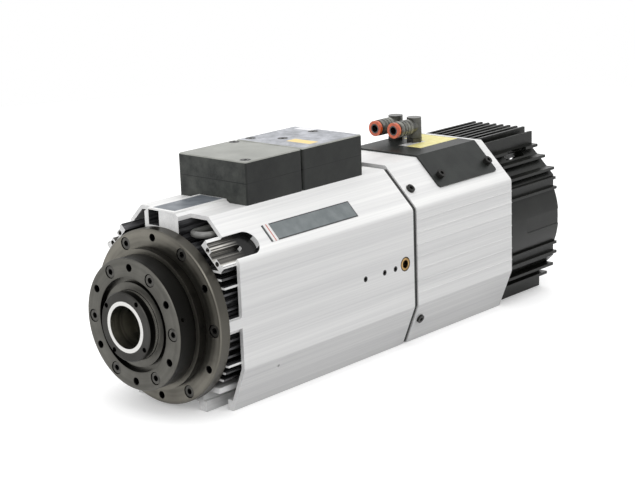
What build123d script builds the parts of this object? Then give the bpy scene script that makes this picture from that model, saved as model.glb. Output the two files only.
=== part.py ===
from build123d import *
from math import sqrt
import os

# Electrospindle with automatic tool change: an extruded, air-cooled motor housing with the
# tool taper at its nose, a release cylinder in its rear housing and a fan in a finned cowl.
#
# The spindle axis is Y. The nose points to -Y, the fan to +Y, and Z is up. The origin is on
# the axis, in the front face of the nose cover. A "station" is a distance behind that face.
# All sizes are in millimetres.

# ---------------------------------------------------------------- general fits
slip = 0.05             # radial clearance of a spigot or a bearing ring in its seat
running = 0.3           # clearance between turning and fixed pieces
slide_fit = 0.1         # radial clearance of the piston and its rod
seat_gap = 0.3          # clearance where a piece drops into a pocket
wide = 400.0            # longer than anything it cuts

# ---------------------------------------------------------------- extruded section
tube_bore = 51.0        # seat of the stator and of the flange's spigot
tube_wall = 4.5
tube_radius = tube_bore + tube_wall
side_space = 8.5        # from the tube to the flat side
top_space = 19.0        # from the tube to the top flat
foot_space = 11.8       # from the tube to the resting faces
half_width = tube_radius + side_space
side_top = half_width - 18.5            # height of the side's upper corner
main_top = tube_radius + top_space      # top flat of the motor housing
rear_top = main_top + 2.0               # top flat of the rear housing
foot_depth = tube_radius + foot_space   # axis to the resting faces
side_bottom = foot_depth - 33.3         # depth of the side's lower corner
foot_outer = half_width - 13.5          # outer edge of the resting face
foot_width = 21.9
foot_inner = foot_outer - foot_width
belly_depth = foot_depth - 6.8      # underside between the feet
belly_web = 14.0        # half width of the web between the tube and the underside
shell_wall = 3.0
rear_shell_wall = 4.0
shell_corner = 5.0      # rounding of the side corners
chamfer_sum = half_width + side_top      # x + z on the upper 45 degree face

tslot_neck = 9.0
tslot_head = 17.0
tslot_head_start = foot_outer - tslot_head
tslot_neck_start = tslot_head_start + 3.0
tslot_lip = 8.0         # thickness of the lips under the head
tslot_height = 8.7
foot_roof = 4.0
roof_depth = foot_depth - tslot_lip - tslot_height     # ceiling of the T-slot head

web_height = 7.6        # side web
web_middle = 1.3
fin_thickness = 1.6
fin_pitch = 5.7
fin_count = 6
fin_start = 11.4
fin_tip_gap = 3.0       # free gap between fin tips and shell
rib_number = 3          # this fin reaches the shell

# ---------------------------------------------------------------- stations
cover_length = 15.5     # nose cover
collar_length = 5.1     # collar of the flange behind it
groove_length = 3.0
flange_front = cover_length + collar_length + groove_length
flange_thickness = 9.7
housing_front = flange_front + flange_thickness
shell_front = 46.0      # outer shell is milled back to here
housing_rear = 240.0
gasket_thickness = 4.5
gasket_inset = 1.2
rear_front = housing_rear + gasket_thickness
rear_length = 128.5
rear_end = rear_front + rear_length
cowl_gap = 1.5
cowl_front = rear_end + cowl_gap
cowl_length = 70.5
cowl_end = cowl_front + cowl_length

# ---------------------------------------------------------------- screws
m3_radius = 1.5
m3_head = 2.75
m3_head_height = 2.4
m3_socket = 2.5
m4_radius = 2.0
m4_head = 3.5
m4_head_height = 4.0
m4_socket = 3.0
m5_radius = 2.5
m5_head = 4.25
m5_head_height = 5.0
m5_socket = 4.0         # across flats
thread_slip = 0.05      # radial clearance of a screw in its thread
screw_play = 0.25       # radial clearance of a screw where it passes through

# ---------------------------------------------------------------- nose and front flange
flange_wall = 13.5      # from the front bearings to the spigot's rim
bearing_outer = tube_bore - flange_wall
cover_pcd = 2 * (bearing_outer + 4.5)   # tapped holes for what is mounted on the nose
cover_screw_pcd = cover_pcd - 1.4       # the cover's own cap screws
cover_radius = cover_pcd / 2 + 6.5
cover_edge = 0.8
labyrinth_bore = bearing_outer - 2.7
labyrinth_ring = labyrinth_bore - 3.8
labyrinth_depth = 5.0
labyrinth_step = 1.2
collar_radius = cover_radius + 3.5
groove_radius = collar_radius - 1.7
flange_radius = half_width + 1.0
flange_pcd = 2 * (collar_radius + 7.0)  # tapped holes for the machine's front plate
flange_screw_pcd = flange_pcd - 1.4     # the flange's own cap screws
spigot_length = 24.7
counterbore = 4.8
counterbore_depth = 5.5
cover_screw_length = 18.0
flange_screw_length = 14.0
m6_drill = 2.5
m6_mouth = 0.4          # chamfer of the tapped holes
side_hole_station = 5.0 # small threaded hole in the rim of the cover
side_hole_radius = 1.6
side_hole_depth = 4.0
side_hole_angle = 13.0
m6_depth = 12.0
tapped_start = 30.0     # angle of the first tapped hole; the cap screws start at 0

# ---------------------------------------------------------------- shaft and tool taper
gauge_radius = 15.875   # 7:24 taper, 31.75 mm gauge diameter
taper_length = 48.0
taper_slope = 7 / 48    # radius lost per length
nose_projection = 7.0
ground_ring_radius = 18.8
nose_ring_radius = 25.5
nose_ring_thickness = 5.7
nose_ring_pcd = 46.0
nose_ring_hole = 1.9
nose_ring_start = 55.0
bearing_bore = 22.5
bearing_width = 16.0
bearing_gap = 5.8       # between a front bearing's rings
bearing_ring = (bearing_outer - bearing_bore - bearing_gap) / 2
bearing_front = cover_length + 0.5
cage_side = 1.5         # from the bearing's face to its rolling elements
locknut_width = 9.0
flange_lip_bore = bearing_outer - 3.5
locknut_radius = flange_lip_bore - 3.0
rotor_core_radius = 33.4
rotor_front = 85.0
rotor_length = 95.0
end_ring_length = 6.0
end_ring_radius = 31.5
rear_seat = 20.0        # radius of the rear bearing seat
rear_bearing_outer = 34.0
rear_bearing_width = 15.0
rear_bearing_front = housing_rear - 35.0
rear_locknut_radius = 27.0
rear_locknut_width = 8.0
encoder_radius = 26.0
encoder_width = 7.0
encoder_teeth = 12
encoder_gap = 4.0
encoder_gap_depth = 1.5
shaft_end = housing_rear - 3.0
gripper_chamber = 12.0
gripper_chamber_length = 23.0
spring_chamber = 14.5
spring_chamber_front = 70.0
spring_chamber_rear = housing_rear - 54.0
rod_bore = 8.6

# ---------------------------------------------------------------- stator
boss_radius = 6.0
air_gap = 0.8
stator_bore = rotor_core_radius + air_gap
winding_inner = 37.0
winding_outer = tube_bore - 2.5
winding_length = 17.0
rear_hub_front = rear_bearing_front - 5.0
rear_hub_lip = 29.0
rear_hub_recess = rear_bearing_outer + 4.0

# ---------------------------------------------------------------- drawbar and release cylinder
release_travel = 8.0
piston_travel = 9.0
piston_clearance = piston_travel - release_travel + slide_fit   # to the drawbar, when clamped
drawbar_radius = 6.0
drawbar_front = 58.0
drawbar_end = housing_rear + 6.0
drawbar_cap_length = 6.0
spring_disc_inner = 0.6     # clearance of the disc springs around the drawbar
spring_disc_outer = 0.8     # and inside their chamber
spring_disc_count = 6
spring_disc_thickness = 2.0
spring_seat_length = 8.0
spring_seat_station = spring_chamber_rear - 10.0
gripper_radius = 8.3
gripper_outer = drawbar_radius + 1.0
gripper_front = drawbar_front - 14.0
gripper_slit = 1.4
gripper_wall = 2.5
gripper_claw_length = 4.0
gripper_floor = 3.0
rear_tube_bore = tube_bore - 1.0
rear_tube_radius = rear_tube_bore + rear_shell_wall
front_plate_length = 11.5
piston_length = 12.0
piston_rod_radius = 9.2
cylinder_wall = 6.0
return_spring_solid = 17.0      # length of the return spring when pressed flat
return_spring_space = return_spring_solid + piston_travel
return_spring_outer = 26.0
return_spring_clearance = 1.5   # around the piston rod
return_spring_discs = 2
return_disc_thickness = 2.5
cylinder_cover_length = 12.0

# ---------------------------------------------------------------- wire channel and slots
rail_half = 17.5
rail_height = 1.7       # above the top flat
rail_slope = 3.0
channel_half = 13.5
channel_floor = main_top - 9.5
channel_rear = housing_rear - 35.0
strip_half = rail_half - rail_slope - 0.1
strip_thickness = 1.2
plug_length = 12.0
plug_left = -2.5        # left side of the channel plug
air_slot_width = 19.5
air_slot_end = 73.8
air_slot_rise = 12.75   # middle of the slot above the side's upper corner
air_slot_depth = 4.2
air_groove_width = 6.0
air_groove_depth = 8.0
boss_width = 25.0
boss_top_depth = 2.5
boss_height = 6.5
boss_hole_radius = 1.8
boss_hole_spacing = 12.4
boss_hole_depth = 14.0

# ---------------------------------------------------------------- side and seam details
sensor_screw_radius = 2.2
sensor_screw_length = 6.0
sensor_screw_height = 2.4
sensor_stations = (housing_rear - 59.4, housing_rear - 36.5, housing_rear - 23.3)
sensor_screw_socket = 2.4
brass_plug_radius = 5.8
brass_plug_socket = 6.0
brass_plug_length = 5.0
brass_plug_station = housing_rear - 11.0
brass_plug_height = 3.7
drain_station = 83.9
drain_radius = 1.1
drain_drop = 7.8        # below the side's lower corner, along the lower chamfer
label_front = 85.2
label_length = 95.2
label_width = 14.6
label_rise = 15.3
label_thickness = 0.4
ridge_count = 7
ridge_width = 0.8
ridge_height = 0.35
seam_screw_setback = 8.0
seam_screw_upper_rise = 17.8
seam_screw_lower_drop = 14.5
seam_screw_recess = 2.2
seam_screw_length = 7.0

# ---------------------------------------------------------------- cowl and fan
cowl_radius = half_width - 0.5
cowl_wall = 3.5
cowl_bore = cowl_radius - cowl_wall
cowl_half = half_width - 6.0    # octagonal block that carries the fins
cowl_top = rear_top - 10.5
cowl_bottom = foot_depth - 7.3
cowl_chamfer_sum = chamfer_sum - 15.0
cowl_front_wall = 3.5
cowl_screw_radius = rear_tube_radius + 2.0
cowl_boss = 5.0
cowl_screw_length = 12.0
cowl_fin = 2.4          # thickness of the fins
top_fin_count = 10
top_fin_pitch = 7.6
top_fin_height = rear_top - 0.2
top_fin_outer = rear_top - 3.5      # the outermost two are lower
bottom_fin_count = 11
bottom_fin_pitch = 8.4
bottom_fin_depth = foot_depth - 0.5
side_fins = ((61.0, 22.5), (52.2, 14.5), (42.4, 5.0), (34.0, 3.5), (25.5, 2.4),    # height, setback
             (-24.0, 2.4), (-32.6, 2.4), (-44.5, 6.0), (-53.5, 12.5))
window_front = cowl_front + 25.5
window_length = 27.0
window_width = 5.5
window_height = cowl_top - 9.4
side_recess_front = cowl_front + 22.5
side_recess_height = 13.0
side_recess_depth = 0.8
fan_frame_front = cowl_front + 8.5
fan_frame_length = 10.0
fan_frame_ring = 3.0
fan_arm_width = 7.0
fan_hub_radius = 22.0
fan_hub_length = 20.0
fan_shaft_radius = 3.0
impeller_front = cowl_front + 31.5
impeller_length = 22.0
impeller_hub = 20.0
impeller_radius = cowl_bore - 6.0
blade_count = 7
blade_thickness = 2.0
blade_tilt = 38.0
guard_thickness = 2.0
guard_radius = cowl_radius - 2.0
guard_screw_radius = cowl_bore - 4.0
guard_boss = 4.5
guard_boss_length = 12.0
guard_slot_length = 15.0
guard_slot_width = 3.6
guard_inner_slots = 21.0    # radius of the slots' middles
guard_inner_count = 18
guard_outer_slots = guard_screw_radius - 13.0
guard_outer_count = 36
guard_outer_start = 5.0     # first outer slot, clear of the screws
guard_screw_length = 10.0

# ---------------------------------------------------------------- port plate and fittings
plate_thickness = 1.5
plate_front = rear_front + 39.5
plate_length = 78.5
plate_rise = 11.5       # lower edge above the side's upper corner
plate_screw_rise = 21.4
plate_screw_stations = (plate_front + 8.5, plate_front + plate_length - 6.0)
plate_corner = 3.0
plate_screw_length = 5.0
fitting_station = plate_front + 47.0
fitting_places = (-26.0, -6.0)
fitting_height = rear_top + 15.0    # axis of the tube ports
stem_hex = 12.0
stem_hex_height = 3.5
stem_radius = 4.0
stem_play = 0.1
stem_spigot_radius = 3.5
stem_spigot_length = 6.0
elbow_radius = 6.2
elbow_top = fitting_height + 7.5
arm_radius = 6.0
arm_core_radius = 5.2
sleeve_radius = 6.7
sleeve_length = 15.0
collar_face = fitting_station - 28.0    # front face of the release collars
release_collar_radius = 6.5
release_collar_rim = 2.6
release_collar_neck = 4.3
release_collar_stroke = 1.5
tube_port_radius = 3.05
release_neck_length = 6.0
sleeve_grooves = 3
sleeve_groove_pitch = 3.6
sleeve_groove_width = 1.2
sleeve_groove_depth = 0.5
sleeve_clearance = 0.2  # between a pressed release collar and the sleeve

# ---------------------------------------------------------------- connection boxes
box_half = chamfer_sum - main_top
box_front = 85.5
power_box_length = 59.5
box_gap = 1.5
signal_box_length = 68.0
box_height = 32.0
box_parting = 16.0      # height of the parting line above the seat
box_wall = 2.5
box_edge = 1.5
cable_hole = 9.0
lid_boss = 4.0
lid_screw_length = 16.0
box_screw_across = 20.0
box_screw_setback = 14.0    # from each end of a box
box_screw_length = 5.0
gland_height = 8.0
gland_radius = 6.0
gland_hex = 15.0
gland_hex_length = 5.0
gland_cap_radius = 7.5
gland_length = 17.0
gland_bore = 3.5
terminal_length = 30.0
terminal_width = 14.0
terminal_height = 12.0
terminal_pitch = 6.0
terminal_poles = 5
terminal_hole = 1.6
box_rim = 0.8           # chamfer around the top of a lid


power_box_rear = box_front + power_box_length
signal_box_front = power_box_rear + box_gap
signal_box_rear = signal_box_front + signal_box_length
box_screw_stations = (box_front + box_screw_setback, power_box_rear - box_screw_setback,
                      signal_box_front + box_screw_setback, signal_box_rear - box_screw_setback)
power_lid_screws = ((box_half - 7.0, box_front + 7.2), (6.0 - box_half, power_box_rear - 6.0))
signal_lid_screws = ((6.0 - box_half, signal_box_front + 10.5), (-7.0, signal_box_front + 23.5),
                     (-7.0, signal_box_rear - 9.5))
gland_stations = (box_front + 29.5, signal_box_front + 33.5)

# ---------------------------------------------------------------- seal air
hose_radius = 2.5
hose_height = main_top - 13.0
hose_inner = rail_half + hose_radius + 0.5      # from the axis to the nearer leg
hose_shell_gap = 2.6    # between the farther leg and the shell
hose_outer = chamfer_sum - shell_wall * sqrt(2) - hose_height - (hose_radius + hose_shell_gap) * sqrt(2)
hose_bend = (hose_outer - hose_inner) / 2
hose_bend_station = shell_front + 2.5
manifold_front = 75.0
manifold_length = 15.0
manifold_side = 3.3     # from a hose's axis to the faces around it


def station(distance):
    """Section plane at a distance behind the nose face: X across, Z up, facing the nose."""
    return Plane.XZ.offset(-distance)


def turned(outline):
    """Body of revolution about the spindle axis from (station, radius) corners."""
    with BuildPart() as body:
        with BuildSketch(Plane.YZ):
            with BuildLine():
                Polyline(*outline, close=True)
            make_face()
        revolve(axis=Axis.Y)
    return body.part


def ring(front, rear, inner, outer):
    """Plain ring between two stations and two radii."""
    return turned([(front, inner), (front, outer), (rear, outer), (rear, inner)])


def cap_screw(radius, length, head_radius, head_height, socket):
    """Socket cap screw seated at the origin, head along +Z."""
    with BuildPart() as screw:
        Cylinder(head_radius, head_height, align=(Align.CENTER, Align.CENTER, Align.MIN))
        with BuildSketch(Plane.XY.offset(head_height)):
            RegularPolygon(socket / 2, 6, major_radius=False)
        extrude(amount=-0.6 * head_height, mode=Mode.SUBTRACT)
        Cylinder(radius, length, align=(Align.CENTER, Align.CENTER, Align.MAX))
    return screw.part


def save(piece, name):
    """Label a finished piece and write it to its own file."""
    piece.label = name
    export_step(piece, f"parts/{name}.step")


os.makedirs("parts", exist_ok=True)


# ================================================================ sections of the extrusions
def body_outline(top):
    """Outer outline of a housing whose top flat lies at the given height."""
    with BuildSketch() as outline:
        with BuildLine():
            Polyline(
                (0, top),
                (chamfer_sum - top, top),
                (half_width, side_top),
                (half_width, -side_bottom),
                (foot_outer, -foot_depth),
                (0, -foot_depth),
            )
            mirror(about=Plane.YZ)
        make_face()
        side_corners = outline.vertices().filter_by(lambda v: abs(v.X) > half_width - 0.1)
        fillet(side_corners, shell_corner)
    return outline.sketch


def inset_outline(top, inset):
    """The outline of a housing, moved inwards."""
    with BuildSketch() as inner:
        add(body_outline(top))
        offset(amount=-inset, kind=Kind.INTERSECTION)
    return inner.sketch


def foot_cavities():
    """T-slots of the two feet and the relief between the feet."""
    with BuildSketch() as cavities:
        for side in (-1, 1):
            with Locations((side * (tslot_neck_start + tslot_neck / 2), -foot_depth)):
                Rectangle(tslot_neck, 2 * tslot_lip + 1)
            with Locations((side * (tslot_head_start + tslot_head / 2), -roof_depth)):
                Rectangle(tslot_head, tslot_height, align=(Align.CENTER, Align.MAX))
        with Locations((0, -belly_depth)):
            Rectangle(2 * foot_inner, wide, align=(Align.CENTER, Align.MAX))
    return cavities.sketch


def extrusion_section(top, wall, tube_outer, tube_inner):
    """Shell, central tube, side webs and feet, as both housings have them."""
    with BuildSketch() as section:
        add(body_outline(top))
        add(inset_outline(top, wall), mode=Mode.SUBTRACT)
        Circle(tube_outer)
        with Locations((0, web_middle)):
            Rectangle(2 * half_width - wall, web_height)
        with Locations((0, -foot_depth)):
            foot_height = foot_depth - roof_depth + foot_roof
            Rectangle(2 * foot_outer, foot_height, align=(Align.CENTER, Align.MIN))
            Rectangle(2 * belly_web, foot_depth, align=(Align.CENTER, Align.MIN))
        add(foot_cavities(), mode=Mode.SUBTRACT)
        Circle(tube_inner, mode=Mode.SUBTRACT)
    return section.sketch


def cooling_fins():
    """Level fins on the stator tube; one on each level pair is a full rib to the shell."""
    with BuildSketch() as fins:
        for number in range(fin_count):
            level = fin_start + number * fin_pitch
            gap = 0 if number == rib_number else fin_tip_gap
            with BuildSketch(mode=Mode.PRIVATE) as pair:
                with Locations((0, level), (0, -level)):
                    Rectangle(wide, fin_thickness)
                add(inset_outline(main_top, shell_wall + gap - seat_gap), mode=Mode.INTERSECT)
            add(pair.sketch)
        Circle(tube_bore, mode=Mode.SUBTRACT)
    return fins.sketch


def chamfer_point(rise, depth=0.0):
    """Point of the right upper chamfer, a rise above its lower corner and a depth below it."""
    return (half_width - (rise + depth) / sqrt(2), side_top + (rise - depth) / sqrt(2))


def chamfer_plane(rise, distance, side=1):
    """Plane on an upper chamfer, facing outwards, with its x axis towards the rear."""
    across, up = chamfer_point(rise)
    return Plane(origin=(side * across, distance, up), x_dir=(0, 1, 0), z_dir=(side, 0, 1))


def lower_chamfer_plane(drop, distance, side=1):
    """Plane on a lower chamfer, a drop below the side's lower corner, facing outwards."""
    run = half_width - foot_outer
    fall = foot_depth - side_bottom
    share = drop / sqrt(run ** 2 + fall ** 2)
    origin = (side * (half_width - share * run), distance, -side_bottom - share * fall)
    return Plane(origin=origin, x_dir=(0, 1, 0), z_dir=(side * fall, 0, -run))


def channel_walls():
    """Block under the top flat that carries the wire channel."""
    with BuildSketch() as walls:
        with Locations((0, tube_bore)):
            Rectangle(2 * rail_half, main_top - tube_bore, align=(Align.CENTER, Align.MIN))
        Circle(tube_bore, mode=Mode.SUBTRACT)
    return walls.sketch


def corner_bosses():
    """Bosses under the upper chamfers, which carry the air slots and their tapped holes."""
    across, up = chamfer_point(air_slot_rise, boss_top_depth + boss_height / 2)
    with BuildSketch() as bosses:
        with Locations((across, up)):
            Rectangle(boss_width, boss_height, rotation=-45)
        mirror(about=Plane.YZ)
    return bosses.sketch


# ================================================================ motor housing
with BuildPart() as motor_housing:
    with BuildSketch(station(housing_front)):
        add(extrusion_section(main_top, shell_wall, tube_radius, tube_bore))
        add(cooling_fins())
        add(channel_walls())
        add(corner_bosses())
        with PolarLocations(flange_screw_pcd / 2, 6):
            Circle(boss_radius)
        add(body_outline(main_top), mode=Mode.INTERSECT)
        add(foot_cavities(), mode=Mode.SUBTRACT)
        Circle(tube_bore, mode=Mode.SUBTRACT)
    extrude(amount=-(housing_rear - housing_front))
    # the shell is milled back in front, but for the webs, the channel and the inner lips
    with BuildSketch(station(housing_front)):
        Rectangle(wide, wide)
        add(inset_outline(main_top, shell_wall), mode=Mode.SUBTRACT)
        with Locations((0, web_middle)):
            Rectangle(wide, web_height, mode=Mode.SUBTRACT)
        Rectangle(2 * rail_half, wide, align=(Align.CENTER, Align.MIN), mode=Mode.SUBTRACT)
        Rectangle(2 * tslot_neck_start, wide, align=(Align.CENTER, Align.MAX), mode=Mode.SUBTRACT)
        for side in (-1, 1):
            with Locations((side * tslot_neck_start, -roof_depth)):
                align_x = Align.MIN if side > 0 else Align.MAX
                Rectangle(wide, wide, align=(align_x, Align.MAX))
    extrude(amount=-(shell_front - housing_front), mode=Mode.SUBTRACT)
    # raised rail in front of the connection boxes
    with BuildSketch(station(housing_front)):
        with BuildLine():
            rail_top = main_top + rail_height
            Polyline(
                (-rail_half, main_top - 1),
                (-rail_half, main_top),
                (-rail_half + rail_slope, rail_top),
                (rail_half - rail_slope, rail_top),
                (rail_half, main_top),
                (rail_half, main_top - 1),
                close=True,
            )
        make_face()
    extrude(amount=-(box_front - seat_gap - housing_front))
    # wire channel
    with BuildSketch(station(housing_front)):
        with Locations((0, channel_floor)):
            Rectangle(2 * channel_half, wide, align=(Align.CENTER, Align.MIN))
    extrude(amount=-(channel_rear - housing_front), mode=Mode.SUBTRACT)
    # air slots in the upper chamfers, open to the front, with a deeper groove
    for side in (-1, 1):
        for width, depth in ((air_slot_width, air_slot_depth), (air_groove_width, air_groove_depth)):
            end = air_slot_end - (air_slot_width - width)
            with BuildSketch(chamfer_plane(air_slot_rise, end - width / 2, side)):
                Circle(width / 2)
                Rectangle(wide, width, align=(Align.MAX, Align.CENTER))
            extrude(amount=-depth, mode=Mode.SUBTRACT)
    # tapped holes: flange screws, and two in the front of each corner boss
    with BuildSketch(station(housing_front)):
        with PolarLocations(flange_screw_pcd / 2, 6):
            Circle(m5_radius + thread_slip)
    extrude(amount=-flange_screw_length, mode=Mode.SUBTRACT)
    with BuildSketch(station(housing_front)):
        for offset_along in (-boss_hole_spacing / 2, boss_hole_spacing / 2):
            across, up = chamfer_point(air_slot_rise + offset_along, air_slot_depth + boss_hole_radius + 0.6)
            with Locations((across, up), (-across, up)):
                Circle(boss_hole_radius)
    extrude(amount=-boss_hole_depth, mode=Mode.SUBTRACT)
    # side holes
    for distance in sensor_stations:
        with BuildSketch(Plane(origin=(half_width, distance, sensor_screw_height), z_dir=(1, 0, 0))):
            Circle(sensor_screw_radius + thread_slip)
        extrude(amount=-sensor_screw_length, mode=Mode.SUBTRACT)
    with BuildSketch(Plane(origin=(half_width, brass_plug_station, brass_plug_height), z_dir=(1, 0, 0))):
        Circle(brass_plug_radius + thread_slip)
    extrude(amount=-brass_plug_length, mode=Mode.SUBTRACT)
    with BuildSketch(lower_chamfer_plane(drain_drop, drain_station, 1)):
        Circle(drain_radius)
    extrude(amount=-2 * shell_wall, mode=Mode.SUBTRACT)
    with BuildSketch(Plane.XY.offset(main_top)):
        for distance in box_screw_stations:
            with Locations((-box_screw_across, distance), (box_screw_across, distance)):
                Circle(m4_radius + thread_slip)
    extrude(amount=-shell_wall, mode=Mode.SUBTRACT)
save(motor_housing.part, "motor_housing")


# ================================================================ nose cover and front flange
with BuildPart() as front_flange:
    add(turned([
        (cover_length, bearing_outer + slip),
        (cover_length, collar_radius),
        (cover_length + collar_length, collar_radius),
        (cover_length + collar_length, groove_radius),
        (flange_front, groove_radius),
        (flange_front, flange_radius),
        (housing_front, flange_radius),
        (housing_front, tube_bore - slip),
        (housing_front + spigot_length, tube_bore - slip),
        (housing_front + spigot_length, flange_lip_bore),
        (bearing_front + 2 * bearing_width, flange_lip_bore),
        (bearing_front + 2 * bearing_width, bearing_outer + slip),
    ]))
    rims = front_flange.edges().filter_by(GeomType.CIRCLE).filter_by(
        lambda e: abs(e.radius - flange_radius) < 0.1)
    chamfer(rims, cover_edge)
    with BuildSketch(station(flange_front)):
        with PolarLocations(flange_screw_pcd / 2, 6):
            Circle(m5_radius + screw_play)
        with PolarLocations(flange_pcd / 2, 6, start_angle=tapped_start):
            Circle(m6_drill)
    extrude(amount=-flange_thickness, mode=Mode.SUBTRACT)
    with BuildSketch(station(flange_front)):
        with PolarLocations(flange_screw_pcd / 2, 6):
            Circle(counterbore)
    extrude(amount=-counterbore_depth, mode=Mode.SUBTRACT)
    mouths = front_flange.edges().filter_by(GeomType.CIRCLE).filter_by(
        lambda e: abs(e.radius - m6_drill) < 0.01 and abs(e.center().Y - flange_front) < 0.01)
    chamfer(mouths, m6_mouth)
    with BuildSketch(station(cover_length)):
        with PolarLocations(cover_screw_pcd / 2, 6):
            Circle(m5_radius + thread_slip)
    extrude(amount=-(cover_screw_length - cover_length + counterbore_depth + 1), mode=Mode.SUBTRACT)
save(front_flange.part, "front_flange")

with BuildPart() as nose_cover:
    add(turned([
        (0, labyrinth_bore),
        (0, cover_radius),
        (cover_length, cover_radius),
        (cover_length, bearing_outer - running),
        (bearing_front, bearing_outer - running),
        (bearing_front, bearing_outer - bearing_ring + running),
        (cover_length - 2, bearing_outer - bearing_ring + running),
        (cover_length - 2, nose_ring_radius + running),
        (labyrinth_step, nose_ring_radius + running),
        (labyrinth_step, labyrinth_ring),
        (labyrinth_depth, labyrinth_ring),
        (labyrinth_depth, labyrinth_bore),
    ]))
    rims = nose_cover.edges().filter_by(GeomType.CIRCLE).filter_by(
        lambda e: abs(e.radius - cover_radius) < 0.1 and e.center().Y < 0.1)
    chamfer(rims, cover_edge)
    with BuildSketch(station(0)):
        with PolarLocations(cover_screw_pcd / 2, 6):
            Circle(m5_radius + screw_play)
    extrude(amount=-cover_length, mode=Mode.SUBTRACT)
    with BuildSketch(station(0)):
        with PolarLocations(cover_screw_pcd / 2, 6):
            Circle(counterbore)
    extrude(amount=-counterbore_depth, mode=Mode.SUBTRACT)
    with BuildSketch(station(0)):
        with PolarLocations(cover_pcd / 2, 6, start_angle=tapped_start):
            Circle(m6_drill)
    extrude(amount=-m6_depth, mode=Mode.SUBTRACT)
    mouths = nose_cover.edges().filter_by(GeomType.CIRCLE).filter_by(
        lambda e: abs(e.radius - m6_drill) < 0.01 and abs(e.center().Y) < 0.01)
    chamfer(mouths, m6_mouth)
    side_hole = Plane.YZ.rotated((0, -side_hole_angle, 0)).offset(cover_radius)
    with BuildSketch(side_hole):
        with Locations((side_hole_station, 0)):
            Circle(side_hole_radius)
    extrude(amount=-side_hole_depth, mode=Mode.SUBTRACT)
save(nose_cover.part, "nose_cover")

with BuildPart(station(counterbore_depth)) as nose_cover_screws:
    with PolarLocations(cover_screw_pcd / 2, 6):
        add(cap_screw(m5_radius, cover_screw_length, m5_head, m5_head_height, m5_socket))
save(nose_cover_screws.part, "nose_cover_screws")

with BuildPart(station(flange_front + counterbore_depth)) as front_flange_screws:
    with PolarLocations(flange_screw_pcd / 2, 6):
        add(cap_screw(m5_radius, flange_screw_length, m5_head, m5_head_height, m5_socket))
save(front_flange_screws.part, "front_flange_screws")

# ================================================================ shaft and front bearings
locknut_front = bearing_front + 2 * bearing_width

with BuildPart() as spindle_shaft:
    nose = -nose_projection
    taper_end = nose + taper_length
    add(turned([
        (nose, gauge_radius),
        (nose, ground_ring_radius),
        (nose + nose_ring_thickness, ground_ring_radius),
        (nose + nose_ring_thickness, nose_ring_radius),
        (bearing_front, nose_ring_radius),
        (bearing_front, bearing_bore),
        (rear_bearing_front, bearing_bore),
        (rear_bearing_front, rear_seat),
        (shaft_end, rear_seat),
        (shaft_end, rod_bore),
        (spring_chamber_rear, rod_bore),
        (spring_chamber_rear, spring_chamber),
        (spring_chamber_front, spring_chamber),
        (spring_chamber_front, rod_bore),
        (taper_end + gripper_chamber_length, rod_bore),
        (taper_end + gripper_chamber_length, gripper_chamber),
        (taper_end, gripper_chamber),
        (taper_end, gauge_radius - taper_slope * taper_length),
    ]))
save(spindle_shaft.part, "spindle_shaft")

with BuildPart() as nose_ring:
    add(ring(nose, nose + nose_ring_thickness, ground_ring_radius + slip, nose_ring_radius))
    rims = nose_ring.edges().filter_by(GeomType.CIRCLE).filter_by(
        lambda e: abs(e.radius - nose_ring_radius) < 0.1 and e.center().Y < nose + 0.1)
    chamfer(rims, cover_edge)
    with BuildSketch(station(nose)):
        with PolarLocations(nose_ring_pcd / 2, 4, start_angle=nose_ring_start):
            Circle(nose_ring_hole)
    extrude(amount=-nose_ring_thickness, mode=Mode.SUBTRACT)
save(nose_ring.part, "nose_ring")


save(ring(locknut_front, locknut_front + locknut_width, bearing_bore + slip, locknut_radius),
     "shaft_locknut")

# ================================================================ rotor and stator
save(ring(rotor_front, rotor_front + rotor_length, bearing_bore + slip, rotor_core_radius), "rotor_core")
with BuildPart() as rotor_end_rings:
    add(ring(rotor_front - end_ring_length, rotor_front, bearing_bore + slip, end_ring_radius))
    add(ring(rotor_front + rotor_length, rotor_front + rotor_length + end_ring_length,
             bearing_bore + slip, end_ring_radius))
save(rotor_end_rings.part, "rotor_end_rings")
save(ring(rotor_front, rotor_front + rotor_length, stator_bore, tube_bore - slip), "stator_core")
with BuildPart() as stator_windings:
    add(ring(rotor_front - winding_length, rotor_front, winding_inner, winding_outer))
    add(ring(rotor_front + rotor_length, rotor_front + rotor_length + winding_length,
             winding_inner, winding_outer))
save(stator_windings.part, "stator_windings")

# ================================================================ rear bearing
rear_bearing_rear = rear_bearing_front + rear_bearing_width
save(turned([
    (rear_hub_front, rear_hub_lip),
    (rear_hub_front, tube_bore - slip),
    (housing_rear, tube_bore - slip),
    (housing_rear, rear_hub_recess),
    (rear_bearing_rear, rear_hub_recess),
    (rear_bearing_rear, rear_bearing_outer + slip),
    (rear_bearing_front, rear_bearing_outer + slip),
    (rear_bearing_front, rear_hub_lip),
]), "rear_bearing_hub")


def bearing_set(front_inner, front_outer, rear_inner, rear_outer, inset):
    """Matching rings of the two front bearings and the rear one."""
    with BuildPart() as rings:
        for number in range(2):
            front = bearing_front + number * bearing_width
            add(ring(front + inset, front + bearing_width - inset, front_inner, front_outer))
        add(ring(rear_bearing_front + inset, rear_bearing_rear - inset, rear_inner, rear_outer))
    return rings.part


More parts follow.
